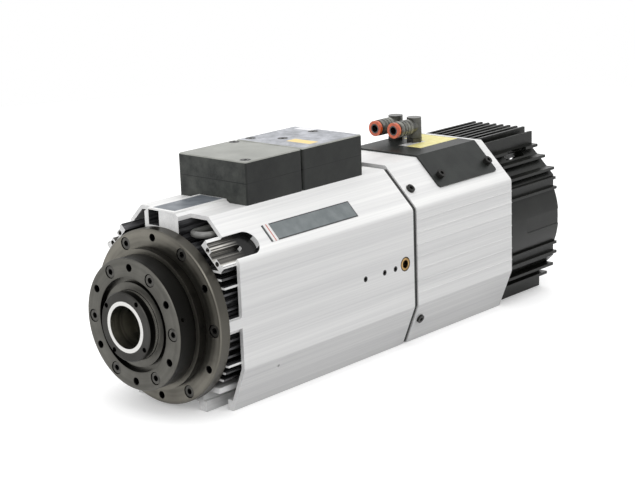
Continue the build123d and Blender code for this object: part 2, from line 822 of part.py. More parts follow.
save(bearing_set(bearing_outer - bearing_ring, bearing_outer, rear_bearing_outer - bearing_ring,
                 rear_bearing_outer, 0), "bearing_outer_rings")
save(bearing_set(bearing_bore + slip, bearing_bore + bearing_ring, rear_seat + slip,
                 rear_seat + bearing_ring, 0), "bearing_inner_rings")
save(bearing_set(bearing_bore + bearing_ring + running, bearing_outer - bearing_ring - running,
                 rear_seat + bearing_ring + running, rear_bearing_outer - bearing_ring - running,
                 cage_side), "bearing_cages")
save(ring(rear_bearing_rear, rear_bearing_rear + rear_locknut_width, rear_seat + slip, rear_locknut_radius),
     "rear_locknut")
encoder_front = rear_bearing_rear + rear_locknut_width
with BuildPart() as encoder_ring:
    add(ring(encoder_front, encoder_front + encoder_width, rear_seat + slip, encoder_radius))
    with BuildSketch(station(encoder_front)):
        with PolarLocations(encoder_radius, encoder_teeth):
            Rectangle(2 * encoder_gap_depth, encoder_gap)
    extrude(amount=-encoder_width, mode=Mode.SUBTRACT)
save(encoder_ring.part, "encoder_ring")


# ================================================================ drawbar
def disc_stack(front, rear, inner, outer, count, thickness):
    """Stack of conical spring discs set face to face, drawn as one pleated body."""
    pitch = (rear - front) / count
    outside = [(front + number * pitch, outer if number % 2 else inner + thickness)
               for number in range(count + 1)]
    inside = [(distance, radius - thickness) for distance, radius in reversed(outside)]
    return turned(outside + inside)


spring_seat_rear = spring_seat_station + spring_seat_length
save(turned([
    (drawbar_front, 0),
    (drawbar_front, drawbar_radius),
    (spring_seat_station, drawbar_radius),
    (spring_seat_station, spring_chamber - running),
    (spring_seat_rear, spring_chamber - running),
    (spring_seat_rear, drawbar_radius),
    (drawbar_end - drawbar_cap_length, drawbar_radius),
    (drawbar_end - drawbar_cap_length, rod_bore - running),
    (drawbar_end, rod_bore - running),
    (drawbar_end, 0),
]), "drawbar")
with BuildPart() as gripper:
    add(turned([
        (gripper_front, gripper_outer - gripper_wall),
        (gripper_front, gripper_radius),
        (gripper_front + gripper_claw_length, gripper_radius),
        (gripper_front + 1.5 * gripper_claw_length, gripper_outer),
        (drawbar_front, gripper_outer),
        (drawbar_front, 0),
        (drawbar_front - gripper_floor, 0),
        (drawbar_front - gripper_floor, gripper_outer - gripper_wall),
    ]))
    with BuildSketch(station(gripper_front)):
        Rectangle(wide, gripper_slit)
        Rectangle(gripper_slit, wide)
    extrude(amount=-(drawbar_front - gripper_front - gripper_floor - 1), mode=Mode.SUBTRACT)
save(gripper.part, "gripper")
save(disc_stack(spring_chamber_front, spring_seat_station, drawbar_radius + spring_disc_inner,
                spring_chamber - spring_disc_outer, spring_disc_count, spring_disc_thickness),
     "drawbar_springs")


# ================================================================ joint plate and rear housing
def plate_pocket(gap):
    """Outline of the release cylinder's front plate inside the rear shell, less a gap."""
    with BuildSketch() as pocket:
        add(inset_outline(rear_top, rear_shell_wall + gap))
        with Locations((0, -roof_depth + foot_roof + gap)):
            Rectangle(wide, wide, align=(Align.CENTER, Align.MAX), mode=Mode.SUBTRACT)
    return pocket.sketch


def seam_screw_planes():
    """Seats of the four screws that hold the rear housing, on its chamfers."""
    planes = []
    distance = rear_front + seam_screw_setback
    for side in (-1, 1):
        planes.append(chamfer_plane(seam_screw_upper_rise, distance, side))
        planes.append(lower_chamfer_plane(seam_screw_lower_drop, distance, side))
    return planes


with BuildPart() as joint_plate:
    with BuildSketch(station(housing_rear)):
        add(extrusion_section(main_top, rear_shell_wall, rear_tube_radius, rear_tube_bore))
        add(inset_outline(main_top, gasket_inset), mode=Mode.INTERSECT)
    extrude(amount=-gasket_thickness)
save(joint_plate.part, "joint_plate")

with BuildPart() as rear_housing:
    with BuildSketch(station(rear_front)):
        add(extrusion_section(rear_top, rear_shell_wall, rear_tube_radius, rear_tube_bore))
        with PolarLocations(cowl_screw_radius, 4, start_angle=45):
            Circle(cowl_boss)
        side_middle = (side_top - side_bottom) / 2
        with Locations((half_width, side_middle), (-half_width, side_middle)):
            with GridLocations(1, (side_top + side_bottom - 2 * shell_corner) / ridge_count, 1, ridge_count):
                Rectangle(2 * ridge_height, ridge_width)
        Circle(rear_tube_bore, mode=Mode.SUBTRACT)
    extrude(amount=-rear_length)
    with BuildSketch(station(rear_front)):
        add(plate_pocket(0))
    extrude(amount=-front_plate_length, mode=Mode.SUBTRACT)
    for plane in seam_screw_planes():
        with BuildSketch(plane):
            Circle(m4_head + seat_gap)
        extrude(amount=-seam_screw_recess, mode=Mode.SUBTRACT)
        with BuildSketch(plane):
            Circle(m4_radius + thread_slip)
        extrude(amount=-(seam_screw_recess + seam_screw_length + 1), mode=Mode.SUBTRACT)
    with BuildSketch(station(rear_end)):
        with PolarLocations(cowl_screw_radius, 4, start_angle=45):
            Circle(m4_radius + thread_slip)
    extrude(amount=cowl_screw_length, mode=Mode.SUBTRACT)
    for distance in plate_screw_stations:
        for side in (-1, 1):
            with BuildSketch(chamfer_plane(plate_screw_rise, distance, side)):
                Circle(m4_radius + thread_slip)
            extrude(amount=-rear_shell_wall, mode=Mode.SUBTRACT)
    with BuildSketch(Plane.XY.offset(rear_top)):
        for across in fitting_places:
            with Locations((across, fitting_station)):
                Circle(stem_radius + stem_play)
    extrude(amount=-rear_shell_wall, mode=Mode.SUBTRACT)
save(rear_housing.part, "rear_housing")

with BuildPart() as seam_screws:
    for plane in seam_screw_planes():
        with Locations(plane.offset(-seam_screw_recess)):
            add(cap_screw(m4_radius, seam_screw_length, m4_head, m4_head_height, m4_socket))
save(seam_screws.part, "seam_screws")

# ================================================================ release cylinder
front_plate_rear = rear_front + front_plate_length
piston_front = front_plate_rear + return_spring_space
piston_rear = piston_front + piston_length
cylinder_cover_front = piston_rear + seat_gap
with BuildPart() as release_front_plate:
    with BuildSketch(station(rear_front)):
        add(plate_pocket(seat_gap))
        Circle(piston_rod_radius + slide_fit, mode=Mode.SUBTRACT)
    extrude(amount=-front_plate_length)
    for plane in seam_screw_planes():
        with BuildSketch(plane):
            Circle(m4_radius + thread_slip)
        extrude(amount=-(seam_screw_recess + seam_screw_length + 1), mode=Mode.SUBTRACT)
save(release_front_plate.part, "release_front_plate")
cylinder_rear = cylinder_cover_front + cylinder_cover_length
save(turned([
    (front_plate_rear, rear_tube_bore - cylinder_wall),
    (front_plate_rear, rear_tube_bore - slip),
    (cylinder_rear, rear_tube_bore - slip),
    (cylinder_rear, 0),
    (cylinder_cover_front, 0),
    (cylinder_cover_front, rear_tube_bore - cylinder_wall),
]), "release_cylinder")
piston_outer = rear_tube_bore - cylinder_wall - slide_fit
save(turned([
    (drawbar_end + piston_clearance, 0),
    (drawbar_end + piston_clearance, piston_rod_radius),
    (piston_front, piston_rod_radius),
    (piston_front, piston_outer),
    (piston_rear, piston_outer),
    (piston_rear, 0),
]), "release_piston")
save(disc_stack(front_plate_rear, piston_front, piston_rod_radius + return_spring_clearance,
                return_spring_outer, return_spring_discs, return_disc_thickness), "return_springs")


# ================================================================ fan cowl
with BuildPart() as fan_cowl:
    with BuildSketch(station(cowl_front)):
        Circle(cowl_radius)
        with BuildLine():
            Polyline(
                (0, cowl_top),
                (cowl_chamfer_sum - cowl_top, cowl_top),
                (cowl_half, cowl_chamfer_sum - cowl_half),
                (cowl_half, cowl_half - cowl_chamfer_sum),
                (cowl_chamfer_sum - cowl_bottom, -cowl_bottom),
                (0, -cowl_bottom),
            )
            mirror(about=Plane.YZ)
        make_face()
        for number in range(top_fin_count):
            across = (number - (top_fin_count - 1) / 2) * top_fin_pitch
            outermost = number in (0, top_fin_count - 1)
            with Locations((across, 0)):
                Rectangle(cowl_fin, top_fin_outer if outermost else top_fin_height,
                          align=(Align.CENTER, Align.MIN))
        with Locations((0, -bottom_fin_depth)):
            with GridLocations(bottom_fin_pitch, 1, bottom_fin_count, 1):
                Rectangle(cowl_fin, bottom_fin_depth - cowl_bottom / 2, align=(Align.CENTER, Align.MIN))
        for height, setback in side_fins:
            with Locations((0, height)):
                Rectangle(2 * (half_width - setback), cowl_fin)
        Circle(cowl_bore, mode=Mode.SUBTRACT)
        with PolarLocations(guard_screw_radius, 4, start_angle=45):
            Circle(guard_boss)
    extrude(amount=-cowl_length)
    with BuildSketch(station(cowl_end - guard_boss_length)):
        Circle(cowl_bore)
    extrude(amount=cowl_length - guard_boss_length, mode=Mode.SUBTRACT)
    with BuildSketch(station(cowl_front)):
        Circle(cowl_bore)
        Circle(rear_tube_bore, mode=Mode.SUBTRACT)
    extrude(amount=-cowl_front_wall)
    with BuildSketch(station(cowl_front)):
        with PolarLocations(cowl_screw_radius, 4, start_angle=45):
            Circle(m4_radius + thread_slip)
    extrude(amount=-cowl_front_wall, mode=Mode.SUBTRACT)
    with BuildSketch(station(cowl_end)):
        with PolarLocations(guard_screw_radius, 4, start_angle=45):
            Circle(m3_radius + thread_slip)
    extrude(amount=guard_boss_length, mode=Mode.SUBTRACT)
    for side in (-1, 1):
        across = cowl_chamfer_sum - window_height
        outwards = Plane(origin=(side * across, window_front + window_length / 2, window_height),
                         x_dir=(0, 1, 0), z_dir=(side, 0, 1))
        with BuildSketch(outwards):
            Rectangle(window_length, window_width)
        extrude(amount=-cowl_bore / 2, both=True, mode=Mode.SUBTRACT)
        with BuildSketch(Plane(origin=(side * cowl_radius, side_recess_front, 0), x_dir=(0, 1, 0),
                               z_dir=(side, 0, 0))):
            Rectangle(cowl_end - side_recess_front, side_recess_height, align=(Align.MIN, Align.CENTER))
        extrude(amount=-side_recess_depth, mode=Mode.SUBTRACT)
save(fan_cowl.part, "fan_cowl")

with BuildPart() as cowl_gasket:
    with BuildSketch(station(rear_end)):
        Circle(cowl_bore)
        Circle(rear_tube_bore, mode=Mode.SUBTRACT)
        with PolarLocations(cowl_screw_radius, 4, start_angle=45):
            Circle(m4_radius + thread_slip, mode=Mode.SUBTRACT)
    extrude(amount=-cowl_gap)
save(cowl_gasket.part, "cowl_gasket")

with BuildPart(station(cowl_front + cowl_front_wall)) as cowl_screws:
    with PolarLocations(cowl_screw_radius, 4, start_angle=45):
        add(cap_screw(m4_radius, cowl_screw_length, m4_head, m4_head_height, m4_socket).rotate(Axis.X, 180))
save(cowl_screws.part, "cowl_screws")

# ================================================================ fan
fan_hub_rear = fan_frame_front + fan_hub_length
with BuildPart() as fan_frame:
    with BuildSketch(station(fan_frame_front)):
        Circle(cowl_bore - slip)
        Circle(cowl_bore - fan_frame_ring, mode=Mode.SUBTRACT)
        Rectangle(2 * cowl_bore - fan_frame_ring, fan_arm_width)
        Rectangle(fan_arm_width, 2 * cowl_bore - fan_frame_ring)
        Circle(fan_hub_radius)
    extrude(amount=-fan_frame_length)
    with BuildSketch(station(fan_frame_front + fan_frame_length)):
        Circle(fan_hub_radius)
    extrude(amount=-(fan_hub_length - fan_frame_length))
    with BuildSketch(station(fan_hub_rear)):
        Circle(fan_shaft_radius + running)
    extrude(amount=fan_hub_length - fan_frame_ring, mode=Mode.SUBTRACT)
save(fan_frame.part, "fan_frame")

blade_length = impeller_radius + blade_thickness
with BuildPart(station(impeller_front + impeller_length / 2)) as fan_impeller:
    Cylinder(impeller_hub, impeller_length)
    with PolarLocations(0, blade_count):
        Box(blade_length, 2 * impeller_length, blade_thickness, rotation=(blade_tilt, 0, 0),
            align=(Align.MIN, Align.CENTER, Align.CENTER))
    Cylinder(impeller_radius, impeller_length, mode=Mode.INTERSECT)
    with BuildSketch(station(impeller_front)):
        Circle(fan_shaft_radius)
    extrude(amount=impeller_front - fan_frame_front - fan_frame_ring - running)
save(fan_impeller.part, "fan_impeller")

with BuildPart() as fan_guard:
    with BuildSketch(station(cowl_end)):
        Circle(guard_radius)
        with PolarLocations(guard_inner_slots, guard_inner_count):
            Rectangle(guard_slot_length, guard_slot_width, mode=Mode.SUBTRACT)
        with PolarLocations(guard_outer_slots, guard_outer_count, start_angle=guard_outer_start):
            Rectangle(guard_slot_length, guard_slot_width, mode=Mode.SUBTRACT)
        with PolarLocations(guard_screw_radius, 4, start_angle=45):
            Circle(m3_radius + thread_slip, mode=Mode.SUBTRACT)
    extrude(amount=-guard_thickness)
save(fan_guard.part, "fan_guard")

with BuildPart(station(cowl_end + guard_thickness)) as guard_screws:
    with PolarLocations(guard_screw_radius, 4, start_angle=45):
        add(cap_screw(m3_radius, guard_screw_length, m3_head, m3_head_height, m3_socket).rotate(Axis.X, 180))
save(guard_screws.part, "guard_screws")

# ================================================================ port plate
plate_seat = rear_top + plate_thickness
with BuildPart() as port_plate:
    with BuildSketch(station(plate_front)):
        bend = plate_thickness * (sqrt(2) - 1)
        with BuildLine():
            Polyline(
                (0, rear_top),
                (chamfer_sum - rear_top, rear_top),
                chamfer_point(plate_rise),
                chamfer_point(plate_rise, -plate_thickness),
                (chamfer_sum - rear_top + bend, plate_seat),
                (0, plate_seat),
            )
            mirror(about=Plane.YZ)
        make_face()
    extrude(amount=-plate_length)
    fillet(port_plate.edges().filter_by(lambda e: abs(e.length - plate_thickness) < 0.01), plate_corner)
    for distance in plate_screw_stations:
        for side in (-1, 1):
            with BuildSketch(chamfer_plane(plate_screw_rise, distance, side)):
                Circle(m4_radius + thread_slip)
            extrude(amount=2 * plate_thickness, mode=Mode.SUBTRACT)
    with BuildSketch(Plane.XY.offset(rear_top)):
        for across in fitting_places:
            with Locations((across, fitting_station)):
                Circle(stem_radius + stem_play)
    extrude(amount=plate_thickness, mode=Mode.SUBTRACT)
save(port_plate.part, "port_plate")

with BuildPart() as port_plate_screws:
    for distance in plate_screw_stations:
        for side in (-1, 1):
            with Locations(chamfer_plane(plate_screw_rise, distance, side).offset(plate_thickness)):
                add(cap_screw(m4_radius, plate_screw_length, m4_head, m4_head_height, m4_socket))
save(port_plate_screws.part, "port_plate_screws")

# ================================================================ push-in elbow fittings
stem_top = plate_seat + stem_hex_height
with BuildPart() as fitting_stems:
    for across in fitting_places:
        with BuildSketch(Plane((across, fitting_station, plate_seat))):
            RegularPolygon(stem_hex / 2, 6, major_radius=False)
        extrude(amount=stem_hex_height)
        with BuildSketch(Plane((across, fitting_station, stem_top))):
            Circle(stem_spigot_radius)
        extrude(amount=stem_spigot_length)
        with BuildSketch(Plane((across, fitting_station, plate_seat))):
            Circle(stem_radius)
        extrude(amount=-(plate_thickness + rear_shell_wall))
save(fitting_stems.part, "fitting_stems")

sleeve_front = collar_face + release_collar_rim + release_collar_stroke + sleeve_clearance
sleeve_rear = sleeve_front + sleeve_length
for side, across in zip(("left", "right"), fitting_places):
    with BuildPart() as elbow:
        with BuildSketch(Plane((across, fitting_station, stem_top + running))):
            Circle(elbow_radius)
        extrude(amount=elbow_top - stem_top - running)
        with BuildSketch(Plane((across, sleeve_rear, fitting_height), z_dir=(0, -1, 0))):
            Circle(arm_radius)
        extrude(amount=sleeve_rear - fitting_station)
        with BuildSketch(Plane((across, sleeve_rear, fitting_height), z_dir=(0, -1, 0))):
            Circle(arm_core_radius)
        extrude(amount=sleeve_rear - sleeve_front)
        with BuildSketch(Plane((across, sleeve_front, fitting_height), z_dir=(0, -1, 0))):
            Circle(release_collar_neck + slide_fit)
        extrude(amount=-(release_neck_length + release_collar_stroke), mode=Mode.SUBTRACT)
        with BuildSketch(Plane((across, sleeve_front, fitting_height), z_dir=(0, -1, 0))):
            Circle(tube_port_radius)
        extrude(amount=-(fitting_station - sleeve_front), mode=Mode.SUBTRACT)
        with BuildSketch(Plane((across, fitting_station, stem_top))):
            Circle(stem_spigot_radius + slide_fit)
        extrude(amount=stem_spigot_length + seat_gap, mode=Mode.SUBTRACT)
    save(elbow.part, f"{side}_elbow")

    with BuildPart() as sleeve:
        with BuildSketch(Plane((across, sleeve_rear, fitting_height), z_dir=(0, -1, 0))):
            Circle(sleeve_radius)
            Circle(arm_core_radius + slip, mode=Mode.SUBTRACT)
        extrude(amount=sleeve_length)
        for number in range(sleeve_grooves):
            groove_front = sleeve_front + (number + 1) * sleeve_groove_pitch
            with BuildSketch(Plane((across, groove_front, fitting_height), z_dir=(0, -1, 0))):
                Circle(sleeve_radius)
                Circle(sleeve_radius - sleeve_groove_depth, mode=Mode.SUBTRACT)
            extrude(amount=-sleeve_groove_width, mode=Mode.SUBTRACT)
    save(sleeve.part, f"{side}_sleeve")

    with BuildPart() as release_collar:
        with BuildSketch(Plane((across, collar_face, fitting_height), z_dir=(0, -1, 0))):
            Circle(release_collar_radius)
        extrude(amount=-release_collar_rim)
        with BuildSketch(Plane((across, collar_face, fitting_height), z_dir=(0, -1, 0))):
            Circle(release_collar_neck)
        extrude(amount=-(sleeve_front - collar_face + release_neck_length))
        with BuildSketch(Plane((across, collar_face, fitting_height), z_dir=(0, -1, 0))):
            Circle(tube_port_radius)
        extrude(amount=-wide, mode=Mode.SUBTRACT)
    save(release_collar.part, f"{side}_release_collar")


# ================================================================ connection boxes
def box_shell(front, rear, bottom, height, floor_at_bottom):
    """Half of a connection box: a tray with its floor below or above."""
    middle = (front + rear) / 2
    with BuildPart() as shell:
        with BuildSketch(Plane.XY.offset(bottom)):
            with Locations((0, middle)):
                RectangleRounded(2 * box_half, rear - front, box_edge)
        extrude(amount=height)
        inside = bottom + box_wall if floor_at_bottom else bottom
        with BuildSketch(Plane.XY.offset(inside)):
            with Locations((0, middle)):
                Rectangle(2 * (box_half - box_wall), rear - front - 2 * box_wall)
        extrude(amount=height - box_wall, mode=Mode.SUBTRACT)
    return shell.part


def screw_posts(places, bottom, height):
    """Posts for the lid screws."""
    with BuildPart() as posts:
        with BuildSketch(Plane.XY.offset(bottom)):
            with Locations(*places):
                Circle(lid_boss)
        extrude(amount=height)
    return posts.part


def side_port(distance):
    """Plane of a cable gland on the boxes' left side, with its y axis upright."""
    return Plane((-box_half, distance, main_top + gland_height), x_dir=(0, 1, 0), z_dir=(-1, 0, 0))


parting = main_top + box_parting
lid_top = main_top + box_height
boxes = (
    ("power", box_front, power_box_rear, power_lid_screws, box_screw_stations[:2], gland_stations[0]),
    ("signal", signal_box_front, signal_box_rear, signal_lid_screws, box_screw_stations[2:],
     gland_stations[1]),
)
for name, front, rear, screw_places, base_screws, gland_station in boxes:
    middle = (front + rear) / 2
    gland_plane = side_port(gland_station)
    with BuildPart() as base:
        add(box_shell(front, rear, main_top, box_parting, True))
        add(screw_posts(screw_places, main_top, box_parting))
        with BuildSketch(Plane.XY.offset(main_top)):
            with Locations((0, middle)):
                Circle(cable_hole)
            with Locations(*[(side * box_screw_across, distance) for side in (-1, 1)
                             for distance in base_screws]):
                Circle(m4_radius + thread_slip)
        extrude(amount=box_wall, mode=Mode.SUBTRACT)
        with BuildSketch(Plane.XY.offset(parting)):
            with Locations(*screw_places):
                Circle(m3_radius + thread_slip)
        extrude(amount=-(box_parting - box_wall), mode=Mode.SUBTRACT)
        with BuildSketch(gland_plane):
            Circle(gland_radius + thread_slip)
        extrude(amount=-box_wall, mode=Mode.SUBTRACT)
    save(base.part, f"{name}_box_base")

    with BuildPart() as lid:
        add(box_shell(front, rear, parting, box_height - box_parting, False))
        add(screw_posts(screw_places, parting, box_height - box_parting))
        rims = lid.edges().group_by(Axis.Z)[-1]
        chamfer(rims, box_rim)
        with BuildSketch(Plane.XY.offset(lid_top)):
            with Locations(*screw_places):
                Circle(m3_head + seat_gap)
        extrude(amount=-m3_head_height, mode=Mode.SUBTRACT)
        with BuildSketch(Plane.XY.offset(lid_top)):
            with Locations(*screw_places):
                Circle(m3_radius + thread_slip)
        extrude(amount=-wide, mode=Mode.SUBTRACT)
    save(lid.part, f"{name}_box_lid")

with BuildPart(Plane.XY.offset(lid_top - m3_head_height)) as lid_screws:
    with Locations(*power_lid_screws, *signal_lid_screws):
        add(cap_screw(m3_radius, lid_screw_length, m3_head, m3_head_height, m3_socket))
save(lid_screws.part, "lid_screws")

with BuildPart(Plane.XY.offset(main_top + box_wall)) as terminal_blocks:
    for front in (box_front, signal_box_front):
        with Locations((0, front + box_wall + terminal_width)):
            Box(terminal_length, terminal_width, terminal_height, align=(Align.CENTER, Align.MAX, Align.MIN))
            with GridLocations(terminal_pitch, 1, terminal_poles, 1):
                with Locations((0, -terminal_width / 2)):
                    Cylinder(terminal_hole, terminal_height, align=(Align.CENTER, Align.CENTER, Align.MIN),
                             mode=Mode.SUBTRACT)
save(terminal_blocks.part, "terminal_blocks")

with BuildPart() as cable_glands:
    for gland_station in gland_stations:
        gland_plane = side_port(gland_station)
        with BuildSketch(gland_plane):
            Circle(gland_radius)
        extrude(amount=-box_wall)
        with BuildSketch(gland_plane):
            RegularPolygon(gland_hex / 2, 6, major_radius=False)
        extrude(amount=gland_hex_length)
        with BuildSketch(gland_plane.offset(gland_hex_length)):
            Circle(gland_cap_radius)
        extrude(amount=gland_length - gland_hex_length)
        with BuildSketch(gland_plane.offset(gland_length)):
            Circle(gland_bore)
        extrude(amount=-(gland_length + box_wall), mode=Mode.SUBTRACT)
save(cable_glands.part, "cable_glands")

with BuildPart(Plane.XY.offset(main_top + box_wall)) as box_base_screws:
    with Locations(*[(side * box_screw_across, distance) for side in (-1, 1)
                     for distance in box_screw_stations]):
        add(cap_screw(m4_radius, box_screw_length, m4_head, m4_head_height, m4_socket))
save(box_base_screws.part, "box_base_screws")

# ================================================================ wire channel parts
rail_seat = main_top + rail_height
with BuildPart(Plane.XY.offset(rail_seat)) as channel_cover:
    with Locations((0, housing_front)):
        Box(2 * strip_half, box_front - seat_gap - housing_front, strip_thickness,
            align=(Align.CENTER, Align.MIN, Align.MIN))
save(channel_cover.part, "channel_cover")

with BuildPart(Plane.XY.offset(channel_floor)) as channel_plug:
    with Locations((plug_left, housing_front)):
        Box(channel_half - slide_fit - plug_left, plug_length, rail_seat - channel_floor - slide_fit,
            align=(Align.MIN, Align.MIN, Align.MIN))
save(channel_plug.part, "channel_plug")

# ================================================================ seal air, in the front of the housing
with BuildPart() as air_manifold:
    with BuildSketch(station(manifold_front)):
        with Locations((rail_half, hose_height)):
            Rectangle(hose_outer + manifold_side - rail_half, 2 * manifold_side,
                      align=(Align.MIN, Align.CENTER))
        with Locations((hose_inner, hose_height), (hose_outer, hose_height)):
            Circle(hose_radius + slip, mode=Mode.SUBTRACT)
    extrude(amount=-manifold_length)
save(air_manifold.part, "air_manifold")

with BuildPart() as seal_air_hose:
    with BuildLine(Plane.XY.offset(hose_height)):
        hose_end = manifold_front + manifold_length / 2
        Line((hose_inner, hose_end), (hose_inner, hose_bend_station))
        ThreePointArc((hose_inner, hose_bend_station),
                      (hose_inner + hose_bend, hose_bend_station - hose_bend),
                      (hose_outer, hose_bend_station))
        Line((hose_outer, hose_bend_station), (hose_outer, hose_end))
    with BuildSketch(Plane((hose_inner, hose_end, hose_height), z_dir=(0, -1, 0))):
        Circle(hose_radius)
    sweep()
save(seal_air_hose.part, "seal_air_hose")

# ================================================================ side details
with BuildPart() as label_strip:
    with BuildSketch(chamfer_plane(label_rise, label_front + label_length / 2)):
        Rectangle(label_length, label_width)
    extrude(amount=label_thickness)
save(label_strip.part, "label_strip")

with BuildPart() as sensor_screws:
    for distance in sensor_stations:
        side_plane = Plane(origin=(half_width, distance, sensor_screw_height), z_dir=(1, 0, 0))
        with BuildSketch(side_plane):
            Circle(sensor_screw_radius)
        extrude(amount=-sensor_screw_length)
        with BuildSketch(side_plane):
            RegularPolygon(sensor_screw_socket / 2, 6, major_radius=False)
        extrude(amount=-sensor_screw_length / 2, mode=Mode.SUBTRACT)
save(sensor_screws.part, "sensor_screws")

with BuildPart() as brass_plug:
    plug_plane = Plane(origin=(half_width, brass_plug_station, brass_plug_height), z_dir=(1, 0, 0))
    with BuildSketch(plug_plane):
        Circle(brass_plug_radius)
    extrude(amount=-brass_plug_length)
    with BuildSketch(plug_plane):
        RegularPolygon(brass_plug_socket / 2, 6, major_radius=False)
    extrude(amount=-brass_plug_length / 2, mode=Mode.SUBTRACT)
save(brass_plug.part, "brass_plug")
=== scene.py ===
import math

import bpy
from mathutils import Matrix, Vector

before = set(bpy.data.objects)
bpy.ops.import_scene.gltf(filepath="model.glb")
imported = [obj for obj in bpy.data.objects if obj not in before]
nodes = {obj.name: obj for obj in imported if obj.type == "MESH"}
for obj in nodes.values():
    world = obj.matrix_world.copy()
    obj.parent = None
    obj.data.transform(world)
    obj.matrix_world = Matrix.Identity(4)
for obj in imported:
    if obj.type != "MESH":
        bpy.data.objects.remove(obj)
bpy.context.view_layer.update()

# ---------------------------------------------------------------- places that materials follow, in metres
HALF_WIDTH = 0.064              # the housing's flat sides
UPPER_CORNER = 0.1095           # |x| + z on its upper chamfers
LOWER_CORNER = -0.034           # height at which its lower chamfers start
LOWER_LEAN = (0.9268, 0.3757)   # direction that the lower chamfers face, across and down
TOP_FACE = 0.0745
SKIN = 0.0031                   # anything deeper than this lies behind the skin
RAIL_SIDE = 0.01745
RAIL_FOOT = 0.05
SIDE_WEB = (-0.0026, 0.0052)    # heights of the web that meets the skin
FIN_FOOT = -0.0465              # under this only the feet are left
CHANNEL_HALF = 0.01358
CHANNEL_HEIGHTS = (0.0645, 0.0766)
CHANNEL_FRONT = 0.0336
SLOT_ORIGIN = 0.0455            # height from which the side slot's width is counted
SLOT_RISE = (0.0029, 0.0227)
SLOT_DEPTHS = (0.0004, 0.0125)
SLOT_REAR = 0.0740
SLOT_SHADE = (0.044, 0.060)     # stations between which the slot's painted highlight streaks fade into painted shade
DIAGONAL = 0.7071

COVER_SCREW_CIRCLE, COVER_TAP_CIRCLE = 0.0413, 0.0420
FLANGE_SCREW_CIRCLE, FLANGE_TAP_CIRCLE = 0.0583, 0.0590
COUNTERBORE, TAPPED_HOLE, SOCKET = 0.00482, 0.00292, 0.00222
FLANGE_RIM = 0.0642
TAPER_MOUTH = 0.01589           # radius inside the shaft's bright ring
TAPER_FACE = -0.00695

PARTING_LINE = (0.0902, 0.0907)
# radius of the painted shade round each lid screw
LID_RECESS = 0.0042
POWER_SCREWS = ((0.028, 0.0927), (-0.029, 0.139))
SIGNAL_SCREWS = ((-0.029, 0.157), (-0.007, 0.170), (-0.007, 0.205))

LEFT_FITTING, RIGHT_FITTING = -0.026, -0.006    # axes of the elbow fittings
FITTING_HEIGHT = 0.0915
TUBE_HOLE = 0.0041
PLUG_STATION, PLUG_HEIGHT = 0.229, 0.0037
PLUG_RING = (0.0033, 0.0049)

LABEL_ORIGIN = 0.0185           # z - x at the foot of the label's chamfer
LABEL_RISE = (0.0088, 0.0218)
LABEL_STATIONS = (0.0860, 0.1796)

# near black, painted as shade in holes, screw sockets and screw recesses
PAINTED_HOLE_SHADE = (0.006, 0.006, 0.006)


